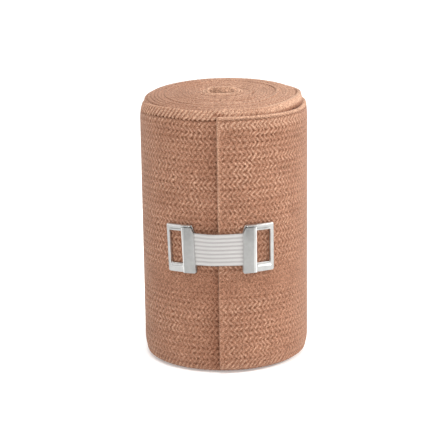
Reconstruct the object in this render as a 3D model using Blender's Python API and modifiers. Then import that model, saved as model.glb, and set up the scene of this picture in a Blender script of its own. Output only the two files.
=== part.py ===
"""An elastic crepe bandage, wound into a roll and held by a two-ended clip.

Metres, +Z up. The origin lies on the ground, under the middle of the whole object. The front, with the
loose end and the clip, faces -Y. Angles are taken about the roll's own axis: they start at the front and
grow towards +X, the way the strip runs inwards from its loose end.
"""

import math

import bmesh
import bpy
import numpy as np

# The roll's axis, off the middle of the whole by half of what the winding and the clip add.
AXIS_X = -0.00036
AXIS_Y = 0.0012

# Bandage: a strip wound from its loose end inwards, two layers of cloth to each inner turn.
ROLL_RADIUS = 0.0309
LOOSE_END_ANGLE = math.radians(-4.0)
OUTER_PITCH = 0.0011
INNER_PITCH = 0.0026
PITCH_BLEND_TURNS = 2.0
TURN_GAP = 0.0003
STATION_LENGTH = 0.0028
STATIONS_IN_SMALL_TURN = 20
SELVEDGE_BEVEL = 0.00032

# Flattened first fold in the middle of the roll.
CORE_RADIUS = 0.0013
CORE_STRETCH = 0.0035
CORE_REACH = 0.015
CORE_SHARPNESS = 3.0

# Top edge. The turns end in a plane that falls to the front; the outermost turn ends lower and nearly level.
TOP_CENTRE = 0.0970
TOP_FALL = 0.100
TOP_LEAN = 0.010
RIM_TOP = 0.0928
RIM_FALL = 0.017
RIM_BLEND_START = 0.90
RIM_BLEND_END = 1.05
SHOULDER_DROP = 0.0021
SHOULDER_RADIUS = 0.0287
SHOULDER_REACH = 0.0024
LEFT_RISE = 0.0018
LEFT_RISE_TURN = 0.93
LEFT_RISE_SPREAD = 0.10
RIGHT_RISE = 0.0020
RIGHT_RISE_TURN = 1.18
RIGHT_RISE_SPREAD = 0.12

# The last turns stand clear of the ground and curl in at both edges.
FOOT_LIFT = 0.0017
FOOT_TURNS = 5.0
CURL_HEIGHT = 0.0060
CURL_TOP = 0.0005
CURL_FOOT = 0.0010

# Clip, laid out flat: X along the elastic, Y up, Z away from the cloth, then wrapped round the roll.
CLIP_CENTRE = -0.0018
CLIP_HEIGHT = 0.0459
CLIP_SAG = 0.0005
CLIP_TILT = 0.019
CLEARANCE = 0.0003
SHEET = 0.00045
END_WIDTH = 0.0117
END_HEIGHT = 0.0174
MOUTH_GAP = 0.0167
NECK_WIDTH = 0.0009
NECK_DROP = 0.0030
CORNER = 0.0007
WINDOW_START = 0.0048
WINDOW_WIDTH = 0.0052
WINDOW_FOOT = -0.0055
WINDOW_TOP = 0.0064
RIM_WIDTH = 0.0005
RIM_HEIGHT = 0.00085
FLANGE_WIDTH = 0.0005
FLANGE_HEIGHT = 0.0011
METAL_BEVEL = 0.00010
WRAP_STEP = 0.0012

# Elastic between the clip's ends.
ELASTIC_HEIGHT = 0.0117
ELASTIC_THICKNESS = 0.0011
ELASTIC_IN_MOUTH = 0.00045
ELASTIC_TUCK = 0.0030
ELASTIC_SHOULDER = 0.0014
ELASTIC_WAIST = 0.0003
RIBS = 8
RIB_STATIONS = 6
RIB_DEPTH = 0.45
LENGTH_STATIONS = 16

MOUTH_DEPTH = ELASTIC_IN_MOUTH + 2 * CLEARANCE
SLEEVE_THICKNESS = 2 * SHEET + MOUTH_DEPTH


def clear_scene():
    for obj in list(bpy.data.objects):
        bpy.data.objects.remove(obj, do_unlink=True)


def new_collection(name):
    collection = bpy.data.collections.new(name)
    bpy.context.scene.collection.children.link(collection)
    return collection


def new_material(name, colour, roughness, metallic):
    material = bpy.data.materials.new(name)
    material.use_nodes = True
    shader = material.node_tree.nodes["Principled BSDF"]
    shader.inputs["Base Color"].default_value = (*colour, 1.0)
    shader.inputs["Roughness"].default_value = roughness
    shader.inputs["Metallic"].default_value = metallic
    material.diffuse_color = (*colour, 1.0)
    return material


def add_object(name, mesh, collection, material=None):
    obj = bpy.data.objects.new(name, mesh)
    collection.objects.link(obj)
    if material:
        mesh.materials.append(material)
    return obj


def flat_grid(name, columns, rows, collection, material):
    """A unit grid, X and Y from 0 to 1, for a strip that is then laid along its path."""
    bpy.ops.mesh.primitive_grid_add(x_subdivisions=columns, y_subdivisions=rows, size=1)
    obj = bpy.context.object
    obj.name = name
    obj.data.name = name
    for home in list(obj.users_collection):
        home.objects.unlink(obj)
    collection.objects.link(obj)
    obj.data.materials.append(material)
    for vertex in obj.data.vertices:
        vertex.co.x += 0.5
        vertex.co.y += 0.5
    return obj


def thicken(obj, thickness, factors):
    """Solidify a laid strip about its middle, each vertex by its own share of the full thickness."""
    group = obj.vertex_groups.new(name="thickness")
    for vertex, factor in zip(obj.data.vertices, factors):
        group.add([vertex.index], factor, "REPLACE")
    solidify = obj.modifiers.new("Thickness", "SOLIDIFY")
    solidify.thickness = thickness
    solidify.offset = 0.0
    solidify.vertex_group = group.name
    solidify.use_rim = True


def soften_edges(obj, width, segments=1):
    bevel = obj.modifiers.new("Soft edges", "BEVEL")
    bevel.width = width
    bevel.segments = segments
    bevel.limit_method = "ANGLE"
    bevel.angle_limit = math.radians(50)
    bevel.use_clamp_overlap = True


def shade(obj):
    obj.data.shade_smooth()
    obj.data.set_sharp_from_angle(angle=math.radians(40))


# ---------------------------------------------------------------- the wound strip


def wound_in(turn):
    """How far the strip's outer face lies inside the roll's radius, after this many turns."""
    growth = turn - PITCH_BLEND_TURNS * (1 - math.exp(-turn / PITCH_BLEND_TURNS))
    return OUTER_PITCH * turn + (INNER_PITCH - OUTER_PITCH) * growth


def face_radius(turn):
    return ROLL_RADIUS - wound_in(turn)


def middle_radius(turn):
    return (face_radius(turn) + face_radius(turn + 1) + TURN_GAP) / 2


def core_stretch(radius):
    return CORE_STRETCH * math.exp(-((radius / CORE_REACH) ** 2))


def strip_thickness(turn):
    """The space from this turn to the next, less the gap, and less where the flat core crowds the turns."""
    radius = middle_radius(turn)
    crowding = 2 * radius / CORE_REACH**2 * core_stretch(radius)
    return (face_radius(turn) - face_radius(turn + 1)) * (1 - crowding) - TURN_GAP


def winding_stations():
    """Turn numbers along the strip, from the loose end to the core, about one station length apart."""
    turns = [0.0]
    while middle_radius(turns[-1]) > CORE_RADIUS:
        around = 2 * math.pi * middle_radius(turns[-1])
        turns.append(turns[-1] + min(STATION_LENGTH / around, 1 / STATIONS_IN_SMALL_TURN))
    return turns


def hump(turn, centre, spread):
    return math.exp(-(((turn - centre) / spread) ** 2))


def smooth_step(value, start, end):
    share = min(1.0, max(0.0, (value - start) / (end - start)))
    return share * share * (3 - 2 * share)


def top_edge(turn, radius):
    """Height of the top edge: low and nearly level round the outermost turn, then the falling plane."""
    angle = LOOSE_END_ANGLE + 2 * math.pi * turn
    front, right = radius * math.cos(angle), radius * math.sin(angle)
    rim = RIM_TOP - RIM_FALL * front + LEFT_RISE * hump(turn, LEFT_RISE_TURN, LEFT_RISE_SPREAD)
    plane = TOP_CENTRE - TOP_FALL * front + TOP_LEAN * right
    plane += RIGHT_RISE * hump(turn, RIGHT_RISE_TURN, RIGHT_RISE_SPREAD)
    shoulder = math.exp(-max(0.0, SHOULDER_RADIUS - radius) / SHOULDER_REACH)
    plane -= SHOULDER_DROP * shoulder * (1 - max(0.0, math.cos(angle)) ** 2)
    share = smooth_step(turn, RIM_BLEND_START, RIM_BLEND_END)
    return rim * (1 - share) + plane * share


def foot_curl(turn):
    return CURL_FOOT * max(0.0, 1 - turn / FOOT_TURNS)


def foot_edge(turn):
    """Height of the foot edge, with what the curl would tip its outer corner down by."""
    tip = strip_thickness(turn) / 2 * foot_curl(turn) / CURL_HEIGHT
    return FOOT_LIFT * max(0.0, 1 - turn / FOOT_TURNS) ** 3 + tip


def strip_point(turn, row):
    """A point on the middle of the strip. Rows run 0 to 3 from the foot edge to the top edge."""
    radius = middle_radius(turn)
    foot, top = foot_edge(turn), top_edge(turn, radius)
    height = (foot, foot + CURL_HEIGHT, top - CURL_HEIGHT, top)[row]
    curl = (foot_curl(turn), 0.0, 0.0, CURL_TOP * (radius / ROLL_RADIUS) ** 2)[row]
    angle = LOOSE_END_ANGLE + 2 * math.pi * turn
    flat = core_stretch(radius) * math.tanh(CORE_SHARPNESS * math.sin(angle)) / math.tanh(CORE_SHARPNESS)
    across = (radius - curl) * math.sin(angle) + flat
    return AXIS_X + across, AXIS_Y - (radius - curl) * math.cos(angle), height


def bandage_roll(collection, material):
    turns = winding_stations()
    strip = flat_grid("bandage_roll", len(turns) - 1, 3, collection, material)
    thickest = max(strip_thickness(turn) for turn in turns)
    factors = []
    for vertex in strip.data.vertices:
        turn = turns[round(vertex.co.x * (len(turns) - 1))]
        vertex.co = strip_point(turn, round(vertex.co.y * 3))
        factors.append(strip_thickness(turn) / thickest)
    thicken(strip, thickest, factors)
    soften_edges(strip, SELVEDGE_BEVEL)
    shade(strip)


# ---------------------------------------------------------------- the clip


def cloth_radius(angle):
    """The roll's outer radius at this angle, on the outermost layer there."""
    turn = (angle - LOOSE_END_ANGLE) / (2 * math.pi)
    return face_radius(turn if turn >= 0 else turn + 1)


def seat_radius(angle):
    """Where the clip's back lies: just off the cloth, and easing up over the step of the loose end."""
    left = cloth_radius(LOOSE_END_ANGLE - math.radians(20))
    right = cloth_radius(LOOSE_END_ANGLE + math.radians(20))
    climb_start = (CLIP_CENTRE - MOUTH_GAP / 2) / ROLL_RADIUS
    climb_end = LOOSE_END_ANGLE - math.radians(2)
    return left + (right - left) * smooth_step(angle, climb_start, climb_end) + 2 * CLEARANCE


def clip_rise(along):
    """The clip's own line sags from its middle towards both ends."""
    share = (along - CLIP_CENTRE) / (MOUTH_GAP / 2 + END_WIDTH)
    return CLIP_HEIGHT - CLIP_SAG * share * share + CLIP_TILT * (along - CLIP_CENTRE)


def wrapped(point):
    """From the clip's flat layout to its place on the roll."""
    along, up, out = point
    angle = along / ROLL_RADIUS
    radius = seat_radius(angle) + out
    return AXIS_X + radius * math.sin(angle), AXIS_Y - radius * math.cos(angle), clip_rise(along) + up


def wrap_mesh(mesh):
    """Cut a flat mesh across every few tenths of its length, then wrap it."""
    cuts = bmesh.new()
    cuts.from_mesh(mesh)
    low = min(vertex.co.x for vertex in cuts.verts)
    high = max(vertex.co.x for vertex in cuts.verts)
    steps = round((high - low) / WRAP_STEP)
    for step in range(1, steps):
        place = low + (high - low) * step / steps
        geometry = cuts.verts[:] + cuts.edges[:] + cuts.faces[:]
        bmesh.ops.bisect_plane(cuts, geom=geometry, plane_co=(place, 0, 0), plane_no=(1, 0, 0), dist=1e-6)
    for vertex in cuts.verts:
        vertex.co = wrapped(vertex.co)
    cuts.to_mesh(mesh)
    cuts.free()


def rounded_outline(points, radius, steps=3):
    """A closed outline with each corner rounded by an arc."""
    outline = []
    count = len(points)
    for index, corner in enumerate(points):
        corner = np.array(corner)
        before = np.array(points[index - 1]) - corner
        after = np.array(points[(index + 1) % count]) - corner
        start = corner + before / np.linalg.norm(before) * radius
        end = corner + after / np.linalg.norm(after) * radius
        for step in range(steps + 1):
            share = step / steps
            outline.append((1 - share) ** 2 * start + 2 * share * (1 - share) * corner + share**2 * end)
    return outline


def sheet_piece(name, outlines, foot, top, helpers):
    """A flat outline, with any further outlines as holes, from one height to another."""
    curve = bpy.data.curves.new(name, "CURVE")
    curve.dimensions = "2D"
    curve.fill_mode = "BOTH"
    curve.extrude = (top - foot) / 2
    for outline in outlines:
        spline = curve.splines.new("POLY")
        spline.points.add(len(outline) - 1)
        spline.use_cyclic_u = True
        for point, place in zip(spline.points, outline):
            point.co = (place[0], place[1], 0, 1)
    source = bpy.data.objects.new(name, curve)
    helpers.objects.link(source)
    graph = bpy.context.evaluated_depsgraph_get()
    mesh = bpy.data.meshes.new_from_object(source.evaluated_get(graph))
    bpy.data.objects.remove(source)
    welded = bmesh.new()
    welded.from_mesh(mesh)
    bmesh.ops.remove_doubles(welded, verts=welded.verts, dist=1e-6)
    bmesh.ops.recalc_face_normals(welded, faces=welded.faces)
    bmesh.ops.translate(welded, verts=welded.verts, vec=(0, 0, (foot + top) / 2))
    welded.to_mesh(mesh)
    welded.free()
    piece = add_object(name, mesh, helpers)
    piece.hide_render = True
    piece.display_type = "WIRE"
    return piece


def box_outline(left, right, foot, top):
    return [(left, foot), (right, foot), (right, top), (left, top)]


def end_outline(right):
    """The stamped end, with its slanted neck where the elastic comes out. X grows away from the elastic."""
    half = END_HEIGHT / 2
    corners = [(0, -half), (right, -half), (right, half), (NECK_WIDTH, half), (0, half - NECK_DROP)]
    return rounded_outline(corners, CORNER)


def clip_end(name, side, collection, helpers, material):
    """One metal end: a plate with a window, folded back over the elastic. Side is -1 left, 1 right."""
    window_end = WINDOW_START + WINDOW_WIDTH
    half = END_HEIGHT / 2
    window = rounded_outline(box_outline(WINDOW_START, window_end, WINDOW_FOOT, WINDOW_TOP), CORNER / 2)
    rim_start, rim_end = WINDOW_START - RIM_WIDTH, window_end + RIM_WIDTH
    rim_box = box_outline(rim_start, rim_end, WINDOW_FOOT - RIM_WIDTH, WINDOW_TOP + RIM_WIDTH)
    rim = rounded_outline(rim_box, CORNER)
    flange = box_outline(NECK_WIDTH + CORNER, END_WIDTH - CORNER, half - FLANGE_WIDTH, half)
    fold = box_outline(rim_start - SHEET, rim_start, -half + CORNER, half - CORNER)
    cover_foot = SHEET + MOUTH_DEPTH
    pieces = [
        sheet_piece("plate", [end_outline(END_WIDTH), window], 0, SHEET, helpers),
        sheet_piece("cover", [end_outline(rim_start)], cover_foot, SLEEVE_THICKNESS, helpers),
        sheet_piece("fold", [fold], SHEET / 2, SLEEVE_THICKNESS - SHEET / 2, helpers),
        sheet_piece("rim", [rim, window], SHEET / 2, RIM_HEIGHT, helpers),
        sheet_piece("flange", [flange], SHEET / 2, FLANGE_HEIGHT, helpers),
    ]
    body = pieces[0]
    for other in pieces[1:]:
        union = body.modifiers.new("Union", "BOOLEAN")
        union.operation = "UNION"
        union.solver = "EXACT"
        union.object = other
    soften_edges(body, METAL_BEVEL)
    graph = bpy.context.evaluated_depsgraph_get()
    mesh = bpy.data.meshes.new_from_object(body.evaluated_get(graph))
    mesh.name = name
    for vertex in mesh.vertices:
        vertex.co.x = CLIP_CENTRE + side * (MOUTH_GAP / 2 + vertex.co.x)
    if side < 0:
        mesh.flip_normals()
    wrap_mesh(mesh)
    for piece in pieces:
        bpy.data.objects.remove(piece)
    mesh.materials.clear()
    shade(add_object(name, mesh, collection, material))


def clip_elastic(collection, material):
    """Ribbed elastic, thinner where it lies inside the two mouths."""
    rows = RIBS * RIB_STATIONS
    strip = flat_grid("clip_elastic", LENGTH_STATIONS, rows, collection, material)
    length = MOUTH_GAP + 2 * ELASTIC_TUCK
    factors = []
    for vertex in strip.data.vertices:
        along, across = vertex.co.x, vertex.co.y
        inside = ELASTIC_TUCK + ELASTIC_SHOULDER - length * min(along, 1 - along)
        pinch = min(1.0, max(0.0, inside / ELASTIC_SHOULDER))
        rib = 1 - RIB_DEPTH * (0.5 + 0.5 * math.cos(2 * math.pi * RIBS * across))
        thickness = ELASTIC_THICKNESS * rib * (1 - pinch) + ELASTIC_IN_MOUTH * pinch
        middle = ELASTIC_THICKNESS / 2 * (1 - pinch) + SLEEVE_THICKNESS / 2 * pinch
        waist = 1 - 2 * ELASTIC_WAIST / ELASTIC_HEIGHT * math.sin(math.pi * along)
        place = (CLIP_CENTRE + length * (along - 0.5), ELASTIC_HEIGHT * (across - 0.5) * waist, middle)
        vertex.co = wrapped(place)
        factors.append(thickness / ELASTIC_THICKNESS)
    thicken(strip, ELASTIC_THICKNESS, factors)
    shade(strip)


def main():
    clear_scene()
    collection = new_collection("crepe_bandage_roll")
    helpers = new_collection("cutters")
    helpers.hide_render = True
    cloth = new_material("crepe_cloth", (0.55, 0.27, 0.18), 0.95, 0.0)
    metal = new_material("clip_metal", (0.62, 0.66, 0.65), 0.35, 1.0)
    elastic = new_material("clip_elastic", (0.80, 0.79, 0.78), 0.85, 0.0)
    bandage_roll(collection, cloth)
    clip_end("clip_end_left", -1, collection, helpers, metal)
    clip_end("clip_end_right", 1, collection, helpers, metal)
    clip_elastic(collection, elastic)


main()
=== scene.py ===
"""Looks of an elastic crepe bandage roll: its woven turns, the stamped clip and the clip's ribbed elastic.

Metres, +Z up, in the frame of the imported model. The front faces -Y. Angles are taken about the roll's own
axis, from the front towards +X. The strip runs inwards from its loose end, and a turn number says how far.
"""

import math

import bmesh
import bpy
import numpy as np
from mathutils import Matrix, Vector


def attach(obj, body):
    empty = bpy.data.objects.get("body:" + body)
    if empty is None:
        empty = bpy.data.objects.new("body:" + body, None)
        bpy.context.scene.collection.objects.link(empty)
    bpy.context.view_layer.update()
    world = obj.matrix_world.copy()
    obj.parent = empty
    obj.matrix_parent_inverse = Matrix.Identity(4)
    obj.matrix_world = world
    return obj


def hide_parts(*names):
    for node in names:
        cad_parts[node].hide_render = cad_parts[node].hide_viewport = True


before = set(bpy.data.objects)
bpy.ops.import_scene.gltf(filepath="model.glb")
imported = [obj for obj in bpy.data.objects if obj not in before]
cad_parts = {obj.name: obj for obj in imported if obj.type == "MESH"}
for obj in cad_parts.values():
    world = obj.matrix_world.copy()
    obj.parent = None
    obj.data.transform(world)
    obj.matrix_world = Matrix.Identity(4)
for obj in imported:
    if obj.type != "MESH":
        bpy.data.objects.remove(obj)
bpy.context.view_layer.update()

# ---------------------------------------------------------------- form of the roll

# The spiral, as in the solids.
AXIS_X = -0.00036
AXIS_Y = 0.0012
ROLL_RADIUS = 0.0309
LOOSE_END_ANGLE = math.radians(-4.0)
OUTER_PITCH = 0.0011
INNER_PITCH = 0.0026
PITCH_BLEND_TURNS = 2.0

# Inside the first turn the cloth lies this close, turn on turn, down to the middle, which is pressed flat.
TURN_PITCH = 0.00130
TURN_GAP = 0.00004
CORE_RADIUS = 0.0008
CORE_STRETCH = 0.0035
CORE_REACH = 0.015
CORE_SHARPNESS = 3.0
LEAST_RADIUS = 0.0002
TABLE_STEPS = 40000

# Top edge: a low rim round the outermost turn, and a plane that falls forwards inside it.
TOP_CENTRE = 0.0970
TOP_FALL = 0.100
TOP_LEAN = 0.010
RIM_TOP = 0.0928
RIM_FALL = 0.017
RIM_BLEND = (0.90, 1.02)
SHOULDER_DROP = 0.0021
SHOULDER_RADIUS = 0.0287
SHOULDER_REACH = 0.0024

# Rises along the top edge, each at a turn number and with a spread in turns.
LEFT_RISE = 0.0018
LEFT_RISE_TURN = 0.93
LEFT_RISE_SPREAD = 0.10
RIGHT_RISE = 0.0018
RIGHT_RISE_TURN = 1.22
RIGHT_RISE_SPREAD = 0.10

# The outermost turn stands higher round the two sides and the back than across the front.
SIDE_RISE = 0.0012
SIDE_RISE_START = (0.18, 0.29)
SIDE_RISE_END = (0.80, 0.96)

# The pressed core stands up and is tilted, and neighbouring turns end at slightly different heights.
CORE_RISE = 0.0007
CORE_TIP = 0.0009
CORE_RISE_REACH = 0.0034
TURN_NOISE = 0.00008
TURN_NOISE_START = (1.0, 1.6)
TURN_NOISE_RATE = 2.3

# Turns that stand a little high or low: radius, angle, rise, spread in and spread round.
UNEVEN_TURNS = (
    (0.0052, math.radians(0), -0.0006, 0.0014, math.radians(60)),
    (0.0147, math.radians(32), -0.0008, 0.0006, math.radians(20)),
    (0.0150, math.radians(-11), -0.0005, 0.0006, math.radians(8)),
    (0.0090, math.radians(75), -0.0008, 0.0006, math.radians(15)),
    (0.0195, math.radians(88), 0.0004, 0.0005, math.radians(40)),
    (0.0195, math.radians(-122), 0.0004, 0.0005, math.radians(40)),
)

# Foot edge, and how both edges curl in. The second turn is tucked in behind the open lip of the first.
FOOT_LIFT = 0.0017
FOOT_TURNS = 5.0
CURL_HEIGHT = 0.0060
CURL_TOP = 0.0005
CURL_FOOT = 0.0014
OPEN_LIP = 0.0007
OPEN_LIP_END = (0.10, 0.22)
TUCKED_LIP = 0.0016
TUCKED_LIP_TURN = 1.10
TUCKED_LIP_SPREAD = 0.16
SIDE_CURLS = ((0.27, 0.0001), (0.74, 0.0009))
SIDE_CURL_SPREAD = 0.10

# Near the loose end the top selvedge is rolled in, which takes this much off its height.
ROLLED_BAND = 0.0023
ROLLED_BAND_END = (0.22, 0.40)
ROLLED_SMOOTHNESS = 0.7

# The cut edge of the loose end: rounded, plain, and a little off the roll except where the clip holds it.
# The stitches' lean sets in over the first ones, and none of them is drawn back past the cut.
END_ROUND = 0.0005
END_THINNEST = 0.12
END_PLAIN = (0.0003, 0.0016)
END_LIFT = 0.00045
END_LIFT_LENGTH = 0.0045
END_LEAN_START = (0.0, 1.5)
END_LEAST_ADVANCE = 0.2
HELD_SPREAD = 0.011

# Where the strip is divided, in turns, and its columns beside the cut edge, in stitches.
BACK_START = 0.5
INNER_START = 1.05
CORE_START = 9.0
CUT_EDGE_COLUMNS = (0.0, 0.02, 0.05, 0.1, 0.16, 0.24)
FIRST_COLUMN = 0.34
STITCHES_LEFT_OUT = 1.5

# ---------------------------------------------------------------- weave

# Rows of slanted stitches, alternately leaning right and left, between two selvedges.
STITCH = 0.00169
ROWS = 43
ROW_HEIGHT = 0.00205
STEPS_IN_ROW = 5
COLUMNS_IN_STITCH = 6
COLUMNS_IN_INNER_STITCH = 5
WOVEN_FACE_ROWS = 8
WOVEN_BAND_STEPS = 5
PLAIN_FACE_ROWS = 4
PLAIN_BAND_STEPS = 2
TOP_BAND = 0.0033
FOOT_BAND = 0.0021
BAND_SLANT = 1.5
BAND_ROOT = 0.0007
EDGE_STEPS = 6
EDGE_ROUND = 0.00055
EDGE_LEAN = 0.3
FOOT_EDGE_ROWS = 0.5
TOP_EDGE_ROWS = 0.4
INNER_EDGE_ROUND = 0.00015
INNER_FACE_FIRST_ROW = 3
INNER_FACE_ROW_STEP = 4

# Depth of the relief, and the levels that make it up, where 1 is the crest of a stitch.
BODY_RELIEF = 0.00015
EDGE_RELIEF = 0.00038
INNER_EDGE_RELIEF = 0.00012
STROKE = 0.50
GROOVE = 0.30
PIT = 0.70
CREST_LEVEL = 0.55
ROW_MARGIN = 0.25

# How uneven the weave is: slack stitches, single bold ones, patches and streaks along the rows.
LOOSE_STITCHES = 0.30
LOOSE_RATE = 0.8
STITCH_VARIETY = 0.34
PATCH_VARIETY = 0.20
PATCH_STITCHES = 8
PATCH_ROWS = 4
STREAKS = 0.6
STREAK_LENGTH = 9.0

# Flatter places: a band below the clip, and the two sides.
PRESSED = 0.6
PRESSED_HEIGHT = 0.0330
PRESSED_SPREAD = 0.0042
STRETCHED = 0.45
STRETCHED_TURNS = (0.23, 0.73)
STRETCHED_SPREAD = 0.07

# One seed for each use of the lattice noise, and the noise's own numbers.
TURN_SEED = 3
LOOSE_SEED = 11
STITCH_SEED = 23
PATCH_SEED = 31
STREAK_SEED = 41
NOISE_X = 127.1
NOISE_Y = 311.7
NOISE_SEED = 74.7
NOISE_SCALE = 43758.5453

# ---------------------------------------------------------------- tone of the cloth, from 0 dark to 1 light

# How boldly the weave shows round its mean tone. Its pits and grooves are darker, partly the weave's own
# pattern, partly painted shade.
MEAN_SHADE = 0.72
BODY_BOLDNESS = 0.79
BAND_BOLDNESS = 1.5
FOOT_BOLDNESS = 0.7
INNER_BOLDNESS = 0.45
INNER_BLEND = (1.0, 1.08)

# Tone of the top edge: lighter on the rim, a painted highlight on the ridge behind it, and painted shade
# towards the left.
BAND_LIGHTER = 0.33
TOP_LIGHTER = 0.12
RIDGE_PAINTED_HIGHLIGHT = 0.38
RIDGE_START = (1.0, 1.02)
OUTER_LEFT_PAINTED_SHADE = 0.28
OUTER_LEFT_PAINTED_SHADE_REACH = (0.2, 0.8)
TOP_LEFT_PAINTED_SHADE = 0.14
TOP_LEFT_PAINTED_SHADE_REACH = (-0.1, 0.5)

# The first rows under the rolled selvedge are a little lighter.
UNDER_LIP_LIGHTER = 0.26
UNDER_LIP_DEPTH = 0.0030
UNDER_LIP_SPREAD = 0.0010
UNDER_LIP_END = (0.14, 0.26)

# Painted shadow of the loose end's step: the cloth just beside it is darker, most of all low down.
STEP_PAINTED_SHADOW = 0.12
STEP_PAINTED_SHADOW_REACH = 0.016
LOW_STEP_PAINTED_SHADOW = 1.6
LOW_STEP_HEIGHT = (0.020, 0.045)

# The core's light edge, and the painted shade of the slit inside it.
CORE_LIGHTER = 0.58
CORE_SLIT_PAINTED_SHADE = 1.0
CORE_SLIT_DEPTH = (0.0, 0.0007)

# Painted shade down in the open gap between the rolled selvedge and the turn behind it.
CREVICE_PAINTED_SHADE = 0.62
CREVICE_LIFT = 0.0002
CREVICE_SPREAD = 0.0006
CREVICE_START = (0.99, 1.0)
CREVICE_END = (1.14, 1.30)

# The cut edge itself is a light line, fainter towards the foot: partly its compact folded edge, partly
# painted highlight.
END_SHADE = 0.88
END_SHADE_REACH = (0.0005, 0.0013)
END_SHADE_LOW = 0.25
END_SHADE_HEIGHT = (0.030, 0.060)

# ---------------------------------------------------------------- clip

# Laid out flat as in the solids: X along the elastic, Y up, Z away from the cloth.
CLIP_CENTRE = -0.0021
CLIP_HEIGHT = 0.0458
CLIP_SAG = 0.0001
CLIP_TILT = 0.019
CLEARANCE = 0.0003
SEAT_ANGLE = math.radians(20)
CLIMB_MARGIN = math.radians(2)
WRAP_STEP = 0.0006

# Metal ends. The left one leans, its top to the left.
SHEET = 0.00040
END_WIDTH = 0.0115
END_HEIGHT = 0.0171
LEFT_END_LEAN = 0.045
MOUTH_GAP = 0.0167
NECK_WIDTH = 0.0009
NECK_DROP = 0.0030
CORNER = 0.0007
CORNER_STEPS = 6
WINDOW_START = 0.0048
WINDOW_WIDTH = 0.0052
WINDOW_FOOT = -0.0055
WINDOW_TOP = 0.0064
RIM_WIDTH = 0.0005
RIM_HEIGHT = 0.00085
BEAD_WIDTH = 0.00055
BEAD_HEIGHT = 0.0011
BEAD_GAP = 0.00030
BEAD_RISE = 0.00020
LIP_WIDTH = 0.0011
LIP_HEIGHT = 0.00115
LIP_OVERHANG = 0.0002
LIP_INSET = 0.0002
BEND_REACH = 0.0001
BEND_STEPS = 20
BEND_INSET = 0.00002
BEND_PAST_MOUTH = 0.001
TRIM_HEIGHTS = (-0.001, 0.004)
WELD = 1e-6

# Softened edges of the metal.
METAL_BEVEL = 0.00013
RIM_BEVEL = 0.0002
BEAD_BEVEL = 0.0002
HIGH_BEAD_BEVEL = 0.00018
LIP_BEVEL = 0.0001
BEVEL_SEGMENTS = 3
BEVEL_ANGLE = math.radians(38)
SHARP_ANGLE = math.radians(40)

# Polish and painted highlight, from 0 dull to 1 bright: full on the edges and the bend, part on the plate,
# none on the sleeve. The lighter colour is partly polished wear, partly painted highlight and reflection.
PLATE_POLISH_AND_HIGHLIGHT = 0.34
BRIGHT_BEND = 0.0010
LEVEL_NORMAL = 0.985

# Elastic, ribbed along its length and pinched in the two mouths.
ELASTIC_HEIGHT = 0.0117
ELASTIC_THICKNESS = 0.0011
ELASTIC_IN_MOUTH = 0.00045
ELASTIC_TUCK = 0.0030
ELASTIC_SHOULDER = 0.0014
ELASTIC_WAIST = 0.0003
ELASTIC_STATIONS = 181
ELASTIC_BACK_POINTS = 16
ELASTIC_FACE_INSET = 0.005
ELASTIC_EDGE_INSET = 0.0005
ELASTIC_TEXTURE_STEP = 0.1
PINCH_GAP = 0.0001
RIBS = 8
RIB_POINTS = 10
RIB_DEPTH = 0.30
RIB_SHARPNESS = 0.7
THREAD = 0.00042
THREAD_RELIEF = 0.00003
THREAD_SHADE = 0.25
MOUTH_DEPTH = ELASTIC_IN_MOUTH + 2 * PINCH_GAP
SLEEVE_THICKNESS = 2 * SHEET + MOUTH_DEPTH

# ---------------------------------------------------------------- colours

# How much of the fine grain and of the twisted ply goes into the tone and into the bump.
GRAIN_IN_TONE = 0.60
TONE_SHIFT = 0.34
PLY_IN_BUMP = 0.6
ELASTIC_GRAIN = 0.25

# Colours at places from 0 to 1, each as red, green and blue.
CLOTH_COLOURS = (
    (0.0, (0.096, 0.034, 0.016)),
    (0.35, (0.216, 0.093, 0.053)),
    (0.72, (0.318, 0.161, 0.101)),
    (1.0, (0.48, 0.290, 0.198)),
)
CLOTH_BLOTCHES = ((0.30, (0.88, 0.85, 0.83)), (0.70, (1.0, 1.0, 1.0)))
CLOTH_SPECKLE = ((0.33, (0.56, 0.52, 0.49)), (0.67, (1.44, 1.48, 1.51)))
DULL_METAL = ((0.25, (0.265, 0.265, 0.260)), (0.75, (0.34, 0.34, 0.333)))
BRIGHT_METAL = ((0.25, (0.62, 0.62, 0.61)), (0.75, (0.80, 0.80, 0.79)))
ELASTIC_COLOURS = (
    (0.15, (0.32, 0.305, 0.298)),
    (0.55, (0.38, 0.365, 0.355)),
    (1.0, (0.46, 0.445, 0.435)),
)
PAPER_COLOURS = ((0.0, (0.90, 0.90, 0.90)), (1.0, (0.93, 0.93, 0.93)))

# ---------------------------------------------------------------- ground, light and camera

FLOOR_FRONT = -1.6
FLOOR_BACK = 0.9
FLOOR_SIDE = 2.2
FLOOR_DROP = 0.0001
SWEEP_RADIUS = 0.5
SWEEP_STEPS = 12
BACK_TOP = 2.4

# Soft lights round the roll: place, size, power and colour.
LIT_POINT = (0, 0, 0.05)
LIGHTS = {
    "key": ((1.05, -0.05, 0.72), 0.36, 12.4, (1.0, 0.98, 0.95)),
    "fill": ((-0.42, -1.15, 0.60), 0.60, 3.6, (1.0, 0.99, 0.98)),
    "top": ((0.0, -0.42, 1.12), 0.60, 7.9, (1.0, 1.0, 1.0)),
}
SKY = 0.61

IMAGE_SIDE = 447
SENSOR = 36.0
CAMERA_PITCH = math.radians(13.05)
CAMERA_DISTANCE = 0.5115
CAMERA_AIM = 0.0465
CAMERA_ROLL = math.radians(-0.74)
CAMERA_RANGE = (0.01, 20.0)
FOCAL_PIXELS = 1387.0
PRINCIPAL_X = 225.1
PRINCIPAL_Y = 228.5


# ---------------------------------------------------------------- helpers


def smooth_step(value, start, end):
    share = np.clip((value - start) / (end - start), 0.0, 1.0)
    return share * share * (3 - 2 * share)


def hump(value, centre, spread):
    return np.exp(-(((value - centre) / spread) ** 2))


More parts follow.
